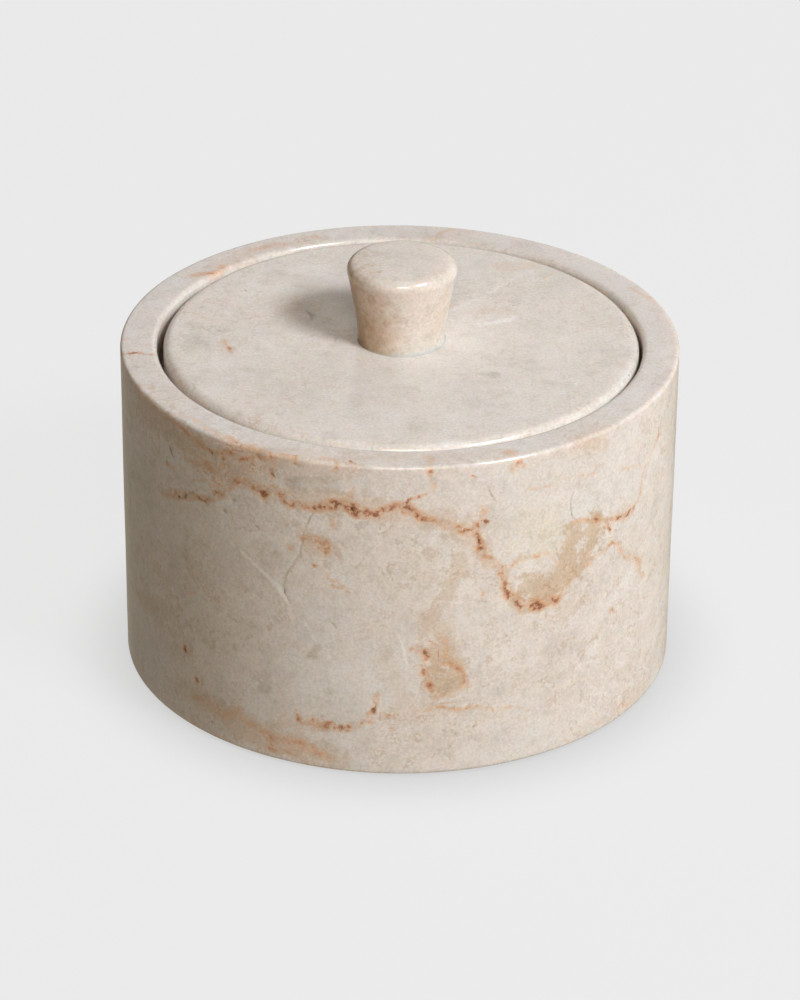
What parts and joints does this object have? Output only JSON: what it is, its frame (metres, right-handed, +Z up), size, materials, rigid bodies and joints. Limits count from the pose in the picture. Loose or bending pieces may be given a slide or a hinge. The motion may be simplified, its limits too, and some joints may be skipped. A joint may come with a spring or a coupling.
{
  "type": "lidded stone jar",
  "caption": "Round turned stone jar with a drop-in disc lid lifted by a flared knob, for cream or small dressing-table items.",
  "frame": {"origin": "centre of the plane that the base pads stand on, on the jar's turning axis", "axes": "+Z up along the jar's turning axis; X and Y are the two diameters midway between neighbouring base pads, and the loose lid lies 0.3 mm towards +X"},
  "size_m": [0.12, 0.12, 0.0919],
  "materials": {
    "jar_marble": "satin polished cream-beige marble with rust veins",
    "lid_marble": "satin polished cream-beige marble with grey clouding",
    "knob_marble": "satin polished cream-beige marble",
    "pad_rubber": "matte dark rubber"
  },
  "bodies": {
    "jar": {"jar_body": "jar_marble", "base_pad_1": "pad_rubber", "base_pad_2": "pad_rubber", "base_pad_3": "pad_rubber", "base_pad_4": "pad_rubber"},
    "lid": {"lid_disc": "lid_marble", "lid_knob": "knob_marble"}
  },
  "joints": [
    {"name": "lid_lift", "type": "slide", "parent": "jar", "child": "lid", "axis": [0, 0, 1], "range_m": [0, 0.1]}
  ]
}
